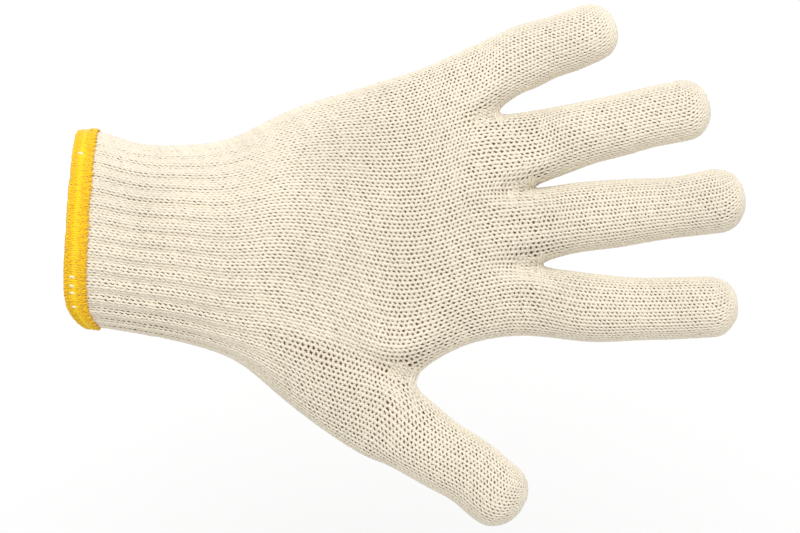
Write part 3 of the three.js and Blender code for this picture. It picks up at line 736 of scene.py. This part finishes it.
def ramp(nodes, stops):
    made = nodes.new("ShaderNodeValToRGB")
    elements = made.color_ramp.elements
    elements[0].position, elements[0].color = stops[0][0], stops[0][1]
    elements[1].position, elements[1].color = stops[-1][0], stops[-1][1]
    for position, color in stops[1:-1]:
        elements.new(position).color = color
    return made


def srgb(r, g, b):
    def linear(x):
        x /= 255
        return x / 12.92 if x <= 0.04045 else ((x + 0.055) / 1.055) ** 2.4

    return linear(r), linear(g), linear(b), 1.0


def noise(nodes, links, place, scale, detail):
    made = nodes.new("ShaderNodeTexNoise")
    made.inputs["Scale"].default_value = scale
    made.inputs["Detail"].default_value = detail
    links.new(place, made.inputs["Vector"])
    return made.outputs["Fac"]


def to_range(nodes, links, value, before, after):
    """Maps a value from one range to another."""
    made = nodes.new("ShaderNodeMapRange")
    made.inputs["From Min"].default_value, made.inputs["From Max"].default_value = before
    made.inputs["To Min"].default_value, made.inputs["To Max"].default_value = after
    links.new(value, made.inputs["Value"])
    return made.outputs["Result"]


def maths(nodes, links, operation, *values):
    """A sum, product or sine of numbers and of other nodes' outputs."""
    made = nodes.new("ShaderNodeMath")
    made.operation = operation
    for socket, value in zip(made.inputs, values):
        if isinstance(value, float):
            socket.default_value = value
        else:
            links.new(value, socket)
    return made.outputs["Value"]


# Places of a yarn's four colours, between the lowest and highest of its heights: the colours paint
# shade, darker the lower the yarn lies.
COLOUR_PLACES = (0, 0.35, 0.7, 1)
COTTON_HEIGHTS = (-1.55, 0.05)
THREAD_HEIGHTS = (-0.3, 1.3)
# Scale and detail of stains and fibres, and how much each changes the tone.
STAINS = (45, 4)
STAIN_STRENGTH = 0.12
FIBRES = (1500, 3)
FIBRE_STRENGTH = 0.16
NOISE_RANGE = (0.25, 0.75)
# Plies round a yarn, their turns along each loop, and how they show in the bump.
PLIES = 3
COTTON_TWIST = 3
THREAD_TWIST = 2
PLY_HEIGHT = 0.5
BUMP_STRENGTH = 0.62
BUMP_DEPTH = 0.12 * MM


def yarn_material(name, colours, heights, twist):
    """Twisted yarn: painted shade by height over the glove's surface, darker in the hollows and
    under each strand, with fibres, stains and ply bump.
    """
    material, nodes, links, shader = node_material(name)
    depth = nodes.new("ShaderNodeAttribute")
    depth.attribute_name = "depth"
    colour = ramp(nodes, list(zip(COLOUR_PLACES, (srgb(*tone) for tone in colours))))
    links.new(to_range(nodes, links, depth.outputs["Fac"], heights, (0, 1)), colour.inputs["Fac"])

    place = nodes.new("ShaderNodeTexCoord").outputs["Object"]
    stain = noise(nodes, links, place, *STAINS)
    fibre = noise(nodes, links, place, *FIBRES)
    tones = [
        to_range(nodes, links, value, NOISE_RANGE, (0.5 - strength / 2, 0.5 + strength / 2))
        for value, strength in ((stain, STAIN_STRENGTH), (fibre, FIBRE_STRENGTH))
    ]
    shade = nodes.new("ShaderNodeVectorMath")
    shade.operation = "SCALE"
    links.new(colour.outputs["Color"], shade.inputs[0])
    links.new(maths(nodes, links, "ADD", *tones), shade.inputs["Scale"])
    links.new(shade.outputs["Vector"], shader.inputs["Base Color"])

    yarn = nodes.new("ShaderNodeUVMap")
    yarn.uv_map = "Yarn"
    split = nodes.new("ShaderNodeSeparateXYZ")
    links.new(yarn.outputs["UV"], split.inputs["Vector"])
    turn = maths(nodes, links, "MULTIPLY", split.outputs["Y"], 2 * math.pi * PLIES)
    plies = maths(nodes, links, "MULTIPLY_ADD", split.outputs["X"], 2 * math.pi * twist, turn)
    wave = maths(nodes, links, "SINE", plies)
    bump = nodes.new("ShaderNodeBump")
    bump.inputs["Strength"].default_value = BUMP_STRENGTH
    bump.inputs["Distance"].default_value = BUMP_DEPTH
    links.new(maths(nodes, links, "MULTIPLY_ADD", wave, PLY_HEIGHT, fibre), bump.inputs["Height"])
    links.new(bump.outputs["Normal"], shader.inputs["Normal"])
    shader.inputs["Roughness"].default_value = 0.92
    shader.inputs["Specular IOR Level"].default_value = 0.25
    shader.inputs["Sheen Weight"].default_value = 0.25
    shader.inputs["Sheen Roughness"].default_value = 0.6
    return material


# Painted shade and light: colours from deep between the loops to their crests, darkest in the
# hollows, lightest on top.
COTTON_AND_SHADE_COLOURS = ((146, 120, 94), (206, 190, 165), (236, 225, 203), (246, 237, 218))
# Painted shade: one dark brown for the sheet under the knit, standing in for the shade in its
# pores.
PORE_SHADE_COLOURS = ((146, 100, 66), (148, 102, 68), (150, 104, 70), (152, 106, 72))
YELLOW_AND_SHADE_COLOURS = ((188, 106, 0), (236, 160, 0), (253, 206, 6), (255, 222, 26))
COTTON = yarn_material("cotton_yarn", COTTON_AND_SHADE_COLOURS, COTTON_HEIGHTS, COTTON_TWIST)
PORE_SHADE = yarn_material("painted_pore_shade", PORE_SHADE_COLOURS, COTTON_HEIGHTS, COTTON_TWIST)
YELLOW = yarn_material("yellow_thread", YELLOW_AND_SHADE_COLOURS, THREAD_HEIGHTS, THREAD_TWIST)


# The knitted pieces.

# A point of the surface is looked up among its nearest ones on a face that slopes enough.
LEAST_SLOPE = 0.1
NEAR_POINTS = 5
NEAR_BLUR = 0.3
# Yarns laid over a fork: how far behind it they lie, their size, bow, height and end dip.
FORK_PLACES = (-0.4, 0.5, 1.4)
FORK_LENGTH = 7
FORK_LENGTH_RANGE = (0.8, 1.1)
FORK_POINTS = 13
FORK_YARN = 0.52
FORK_BOW = 0.5
FORK_LIFT = -0.2
FORK_DIP = 1.1
# The height from which the painted shade of these yarns is taken.
FORK_SHADE = -0.3
# How far these yarns stray along themselves, and to both sides.
FORK_SHIFT = 0.5
FORK_STRAY = 0.12
# Wales that run on over the web behind a fork: their places beside its middle line, size,
# sway from side to side, height, waves and end dip.
WEB_WALES = (-2, -1, 0, 1, 2)
WEB_START = 0.3
WEB_LENGTH = 10
WEB_LOOPS = 6
WEB_YARN = 0.56
WEB_SWAY = 0.32
WEB_LIFT = -0.5
WEB_WAVE = 0.22
WEB_DIP = 1.2
# The skin with its painted pore shade lies this much deeper behind a fork, over this radius.
WEB_SINK = 1.5
WEB_SPREAD = 4.5
# Turns of yarn that close a fingertip, as shares of its opening, how high they stand, and
# how far they are gathered in folds.
TIP_TURNS = (0.95, 0.7, 0.45, 0.18)
TIP_DOME = 0.35
TIP_YARN = 0.52
TIP_GATHER = 0.12


def rib_shares(u, row):
    """How strong the ribs are, by row and by side, and how near the middle of a rib u lies."""
    fade = np.interp(row, *RIB_FADE)
    flat = np.interp(whole.from_side(u), *RIB_FLAT)
    return fade, flat, 0.5 - 0.5 * np.cos(2 * np.pi * (u - 0.5) / WALES_PER_RIB)


def rib_relief(u, row):
    """How low the knit lies between the ribs, which fade out in the heel of the hand."""
    fade, flat, crest = rib_shares(u, row)
    return RIB_HEIGHT * fade * flat * (1 - crest)


def rib_yarn(u, row):
    """Share of the usual radius: the loops close up between the ribs and open on them."""
    fade, flat, crest = rib_shares(u, row)
    return 1 + fade * (RIB_FILL - RIB_OPEN * flat * crest**CREST_POWER)


def lie(place, face):
    """Point and normal of the back or palm of the glove at places given by x and y."""
    seen = np.flatnonzero(surface.normals[:, 2] * face > LEAST_SLOPE)
    gaps = np.linalg.norm(surface.points[seen, :2] - place[:, None, :2], axis=-1)
    near = np.argsort(gaps, 1)[:, :NEAR_POINTS]
    weight = 1 / (np.take_along_axis(gaps, near, 1) + NEAR_BLUR)[..., None] ** 2
    point = (surface.points[seen][near] * weight).sum(1) / weight.sum(1)
    normal = (surface.normals[seen][near] * weight).sum(1)
    return np.stack((place[:, 0], place[:, 1], point[:, 2]), 1), unit(normal)


def fork_wraps(pile, fork, band):
    """The last stitches of a fork: yarns laid side by side across it on both faces."""
    for face in (1, -1):
        for back in FORK_PLACES:
            fork_wrap(pile, fork, face, back, band)
        for aside in WEB_WALES:
            web_wale(pile, fork, face, aside, band)


def fork_wrap(pile, fork, face, back, band):
    """One yarn across a fork."""
    ahead = ahead_of(fork)
    across = vec(-ahead[1], ahead[0])
    span = np.linspace(-1, 1, FORK_POINTS)
    length = FORK_LENGTH * rng.uniform(*FORK_LENGTH_RANGE)
    bow = FORK_BOW * np.cos(span * math.pi / 2) + rng.normal(0, FORK_STRAY, FORK_POINTS)
    beside = span * length / 2 + rng.normal(0, FORK_SHIFT)
    way = hand_point(*FORKS[fork]) + np.outer(beside, across)
    point, normal = lie(way - np.outer(back + bow, ahead), face)
    centre = point + normal * (FORK_LIFT - FORK_DIP * span**6)[:, None]
    depth = np.full((1, FORK_POINTS), FORK_SHADE)
    strands(pile, centre[None], normal[None], FORK_YARN, MAIN, band, depth, closed=False)


def web_wale(pile, fork, face, aside, band):
    """One wale over the web behind a fork."""
    ahead = ahead_of(fork)
    across = vec(-ahead[1], ahead[0])
    run = np.linspace(0, 1, 4 * WEB_LOOPS + 1)
    phase = 2 * np.pi * WEB_LOOPS * run + aside
    beside = aside + WEB_SWAY * np.sin(phase)
    behind = np.outer(run * WEB_LENGTH + WEB_START, ahead)
    point, normal = lie(hand_point(*FORKS[fork]) - behind + np.outer(beside, across), face)
    lift = WEB_LIFT + WEB_WAVE * np.cos(phase) - WEB_DIP * run**8
    centre = point + normal * lift[:, None]
    strands(pile, centre[None], normal[None], WEB_YARN, MAIN, band, lift[None], closed=False)


def close_tip(pile, tube, band):
    """Turns of yarn that draw the open end of a digit's knit together."""
    u = np.arange(0, tube.ring.wales, 0.5)
    on, out = tube.ring.at(u, np.full(len(u), tube.rows[-1]))
    middle = on.mean(0)
    ahead = unit(out.mean(0))
    for share in TIP_TURNS:
        gather = 1 + TIP_GATHER * np.cos(np.pi * u + rng.uniform(0, 2 * np.pi))
        lift = TIP_DOME * (1 - share) - TIP_YARN
        centre = middle + share * gather[:, None] * (on - middle) + lift * ahead
        outward = np.broadcast_to(ahead, on.shape)
        depth = np.full((1, len(u)), -TIP_YARN)
        strands(pile, centre[None], outward[None], TIP_YARN, MAIN, band, depth)


def knitted(name, node, parts, relief=None, capped=False, forks=()):
    """A piece of knit: courses of one or more tubes, given as (tube, first, past the last)."""
    pile = Pile()
    span = 1 / len(parts)
    webs = [hand_point(*FORKS[fork]) - WEB_RUN * ahead_of(fork) for fork in forks]
    step = 1 if forks or relief else 2
    for i, (tube, *courses) in enumerate(parts):
        low = i * span
        strand_end = low + STRAND_SHARE * span
        skin_end = low + SKIN_SHARE * span
        loops_of_yarn(pile, tube, courses, (low, strand_end), relief)
        skin(pile, tube, courses, (strand_end, skin_end), capped, step, relief, webs)
        if capped:
            close_tip(pile, tube, (SKIN_SHARE, 1))
    for fork in forks:
        fork_wraps(pile, fork, (SKIN_SHARE, 1))
    dress(pile.object(name, (COTTON, PORE_SHADE)), node)


def dress(made, node):
    """Puts a piece in the place of a node of the solids."""
    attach(made, "root")
    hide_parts(node)


whole = Ring(0, 4)
# Pairs of row and course pitch along the hand, from under the edging to the thumb's fork.
HAND_PITCHES = ((0.72, 1.85), (4, 1.85), (4.8, 1.98), (6, 1.75), (7, 1.68))
KNUCKLE_PITCHES = ((7, 1.66), (9, 1.58))
FORK_PITCHES = ((9, 1.6), (10, 1.65))
# Rows at which the cuff's knit and the heel's knit end.
CUFF_END = 4
HEEL_END = 5.55


def knitted_hand():
    """The knit from the cuff to the forks of the fingers."""
    hand = Tube(whole, HAND_PITCHES)
    cuff_end = round(float(np.interp(CUFF_END, hand.rows, hand.ways)))
    heel_end = round(float(np.interp(HEEL_END, hand.rows, hand.ways)))
    knitted("rib_cuff_knit", "rib_cuff", [(hand, 0, cuff_end)], rib_relief)
    knitted("heel_knit", "lower_hand", [(hand, cuff_end, heel_end)], rib_relief)
    knitted("thumb_root_knit", "lower_hand", [(hand, heel_end, hand.courses)], forks=("thumb",))
    knuckles = Tube(Ring(0, 3), KNUCKLE_PITCHES)
    between = Tube(Ring(1, 3), FORK_PITCHES)
    parts = [(tube, 0, tube.courses) for tube in (knuckles, between)]
    knitted("upper_hand_knit", "upper_hand", parts, forks=("little", "ring", "middle"))


def knitted_digits():
    """The knit of the four fingers and the thumb."""
    for digit, (name, pitches) in enumerate(DIGIT_PITCHES.items()):
        node = name if name == "thumb" else name + "_finger"
        at = np.linspace(DIGITS[name][0], surface.last_row[digit], len(pitches))
        tube = Tube(Ring(digit, digit), list(zip(at, pitches)))
        knitted(node + "_knit", node, [(tube, 0, tube.courses)], capped=True)


knitted_hand()
knitted_digits()


# The yellow overlocked edge.

WALL = 1.8
HEM_WIDTH = 8.4
MOUTH_ROW_LENGTH = 9.86
HEM_BEND = 1.5
WRAPS = 250
WRAP_RADIUS = 0.54
# Places along the wraps, from inside the cuff round its edge to the outside: how far from
# the edge, in shares of the width, and how high the thread lies over the knit.
WRAP_PATH = (
    (-0.8, -0.5), (-0.6, 0.1), (-0.35, 0.15), (-0.12, 0.15), (0.15, 0.15),
    (0.35, 0.15), (0.55, 0.15), (0.75, 0.1), (0.88, 0), (0.96, -0.4),
)
WRAP_SLANT = 0.45
# Unevenness of the wraps, and how far above their height their painted shade is taken, which paints
# them lighter.
WRAP_STRAY = 0.03
WRAP_SWELL = 0.06
WRAP_SHADE = 0.5
# Chains of loops along both sides of the band: place and half width, in shares of its width.
CHAINS = ((0.14, 0.07), (0.29, 0.07), (0.7, 0.08), (0.86, 0.08))
CHAIN_LOOPS = 156
CHAIN_RADIUS = 0.4
CHAIN_LEAN = 0.27
CHAIN_LIFT = 0.38
CHAIN_WAVE = 0.16
# Unevenness of the chains: along in loops, across, height, and share of the radius.
CHAIN_STRAY = 0.12
CHAIN_SPREAD = 0.02
CHAIN_ROUGH = 0.06
CHAIN_SWELL = 0.12
SCALLOP = 0.06
SCALLOP_LOOPS = 2.15
# The skin under the wraps: its profile round the edge in shares of the width, its faces, and the
# height its painted shade is taken from.
HEM_SKIN = (0.92, 0.6, 0.25, 0.1, 0, -0.1, -0.25, -0.5, -0.75)
HEM_SKIN_LIFTS = (0.1, -0.75)
HEM_SKIN_INSET = 0.95
HEM_SKIN_SHADE = 0.3
# Cream yarn of the knit shows between the wraps at these places across the glove.
KNOT_PLACES = (25.5, -16.2, -19.2, -21.6, -26.3)
KNOT_ROW = 0.45
KNOT_POINTS = 5
KNOT_WALES = 0.2
KNOT_ENDS = (2.4, 4.3)
KNOT_LIFT = 0.1
KNOT_BULGE = 0.45
KNOT_RADIUS = 0.48
# The height from which the knots' painted shade is taken.
KNOT_SHADE = -0.1
# Shares of the bake strip: up to the end of the wraps, each chain's, the skin's and the knots'.
WRAPS_SHARE = 0.5
CHAIN_SHARE = 0.09
HEM_SKIN_BAND = (0.88, 0.96)
KNOTS_BAND = (0.97, 1)


def hem_point(u, along, lift):
    """Point and normal of the hem. Along is from the edge, negative inside the cuff."""
    u, along, lift = np.broadcast_arrays(u, along, lift)
    flat = np.maximum(np.abs(along), HEM_BEND) / MOUTH_ROW_LENGTH
    on, out = whole.at(u, flat)
    ahead, _ = whole.at(u, flat + 0.05)
    forward = unit(ahead - on)
    turn = np.clip(along / HEM_BEND, -1, 1) * math.pi / 2
    away = out * np.sin(turn)[..., None] - forward * np.cos(turn)[..., None]
    return on - out * WALL / 2 + away * (WALL / 2 + lift)[..., None], away


def uneven(amount, shape, every):
    """Random values that change slowly along closed strands."""
    count, samples = shape
    noise = rng.normal(0, amount, (count, math.ceil(samples / every)))
    return np.repeat((noise + np.roll(noise, 1, 1)) / 2, every, 1)[:, :samples]


def hem_wraps(pile):
    """Thread that goes round the raw edge, from inside the cuff to its outside."""
    along, lift = np.array(WRAP_PATH).T * np.array(((HEM_WIDTH,), (1,)))
    shape = (WRAPS, len(along))
    start = np.arange(WRAPS)[:, None] * whole.wales / WRAPS
    slant = WRAP_SLANT * (along - along[0]) / HEM_WIDTH
    u = start + slant + rng.normal(0, WRAP_STRAY, shape)
    high = lift + rng.normal(0, WRAP_STRAY, shape)
    centre, out = hem_point(u, along, high)
    radius = WRAP_RADIUS * (1 + rng.normal(0, WRAP_SWELL, shape))
    strands(pile, centre, out, radius, MAIN, (0, WRAPS_SHARE), high + WRAP_SHADE, closed=False)


def hem_chains(pile):
    """Chains of loops along both sides of the band, with bumps along the outer one."""
    t = np.arange(CHAIN_LOOPS * SAMPLES)[None, :] / SAMPLES
    phase = 2 * np.pi * t
    for i, (place, reach) in enumerate(CHAINS):
        shift = uneven(CHAIN_STRAY, t.shape, SAMPLES // 2)
        u = (t + CHAIN_LEAN * np.sin(2 * phase) + shift) * whole.wales / CHAIN_LOOPS
        across = place + (reach + uneven(CHAIN_SPREAD, t.shape, SAMPLES // 2)) * np.cos(phase)
        across = across + SCALLOP * np.cos(phase / SCALLOP_LOOPS) * (place > 0.5)
        high = CHAIN_LIFT - CHAIN_WAVE * np.cos(2 * phase) + uneven(CHAIN_ROUGH, t.shape, 2)
        centre, out = hem_point(u, across * HEM_WIDTH, high)
        radius = CHAIN_RADIUS * (1 + uneven(CHAIN_SWELL, t.shape, 2))
        low = WRAPS_SHARE + CHAIN_SHARE * i
        strands(pile, centre, out, radius, MAIN, (low, low + CHAIN_SHARE), high)


def hem_skin(pile):
    """A closed skin under the wraps, so that no gap between them shows the raw edge."""
    around = np.arange(0, whole.wales, 1)[None, :]
    profile = np.array(HEM_SKIN)[:, None] * HEM_WIDTH
    outer, _ = hem_point(around, profile, HEM_SKIN_LIFTS[0])
    under, _ = hem_point(around, profile[::-1] * HEM_SKIN_INSET, HEM_SKIN_LIFTS[1])
    loops = np.concatenate((outer, under))
    faces, r, c = grid_faces(len(loops), around.size, closed_rows=True)
    low, high = HEM_SKIN_BAND
    uv = np.stack((c / around.size, low + (high - low) * r / len(loops)), -1)
    pile.add(loops, faces, MAIN, uv, uv, np.full(loops.shape[:2], HEM_SKIN_SHADE))


def hem_knots(pile):
    """Knots of the knit's own yarn that show between the wraps."""
    back = np.linspace(0, whole.wales / 2, 400)
    places, _ = whole.at(back, KNOT_ROW)
    bulge = KNOT_LIFT + KNOT_BULGE * np.sin(np.linspace(0, math.pi, KNOT_POINTS))
    aside = np.linspace(-KNOT_WALES, KNOT_WALES, KNOT_POINTS)
    depth = np.full((1, KNOT_POINTS), KNOT_SHADE)
    for y in KNOT_PLACES:
        u = np.interp(-y, -places[:, 1], back) + aside
        centre, out = hem_point(u, np.linspace(*KNOT_ENDS, KNOT_POINTS), bulge)
        strands(pile, centre[None], out[None], KNOT_RADIUS, OTHER, KNOTS_BAND, depth, closed=False)


def hem():
    pile = Pile()
    hem_wraps(pile)
    hem_chains(pile)
    hem_skin(pile)
    hem_knots(pile)
    dress(pile.object("cuff_edging_thread", (YELLOW, COTTON)), "cuff_edging")


hem()


# Stage, lights and camera.

PIXEL = 0.34483 * MM
IMAGE = (800, 533)
ORIGIN_PIXEL = (65, 229)
VIEW_DISTANCE = 1.4
SENSOR = 36
FLOOR_HEIGHT = -0.4
FLOOR_HALF = 12

centre_x = (IMAGE[0] / 2 - ORIGIN_PIXEL[0]) * PIXEL
centre_y = (ORIGIN_PIXEL[1] - IMAGE[1] / 2) * PIXEL

camera = bpy.data.cameras.new("camera")
camera.sensor_width = SENSOR
camera.lens = SENSOR * VIEW_DISTANCE / (IMAGE[0] * PIXEL)
camera_object = bpy.data.objects.new("camera", camera)
camera_object.location = (centre_x, centre_y, VIEW_DISTANCE)
bpy.context.scene.collection.objects.link(camera_object)
bpy.context.scene.camera = camera_object


def floor():
    mesh = bpy.data.meshes.new("floor")
    sides = ((-1, -1), (1, -1), (1, 1), (-1, 1))
    corners = [(x * FLOOR_HALF, y * FLOOR_HALF, FLOOR_HEIGHT) for x, y in sides]
    mesh.from_pydata(corners, [], [(0, 1, 2, 3)])
    made = bpy.data.objects.new("floor", mesh)
    material, *_, shader = node_material("pale_floor")
    shader.inputs["Base Color"].default_value = (0.92, 0.92, 0.92, 1)
    shader.inputs["Roughness"].default_value = 0.9
    shader.inputs["Specular IOR Level"].default_value = 0.1
    mesh.materials.append(material)
    bpy.context.scene.collection.objects.link(made)
    made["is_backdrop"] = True


def area_light(name, place, size, power, target=(0.12, 0, 0)):
    light = bpy.data.lights.new(name, "AREA")
    light.shape = "DISK"
    light.size = size
    light.energy = power
    made = bpy.data.objects.new(name, light)
    made.location = place
    made.rotation_euler = (Vector(target) - Vector(place)).to_track_quat("-Z", "Y").to_euler()
    bpy.context.scene.collection.objects.link(made)


floor()
area_light("key", (0.1, 1.5, 2.1), 2.4, 39)
area_light("fill", (0.2, -0.8, 1.8), 1.6, 3)

world = bpy.data.worlds.new("studio")
world.use_nodes = True
world.node_tree.nodes["Background"].inputs["Color"].default_value = (1, 1, 1, 1)
world.node_tree.nodes["Background"].inputs["Strength"].default_value = 0.74
bpy.context.scene.world = world
bpy.context.scene.view_settings.view_transform = "Standard"

boxes = [CAD_BOX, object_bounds()]
[[[float(x) for x in corner] for corner in box] for box in boxes]
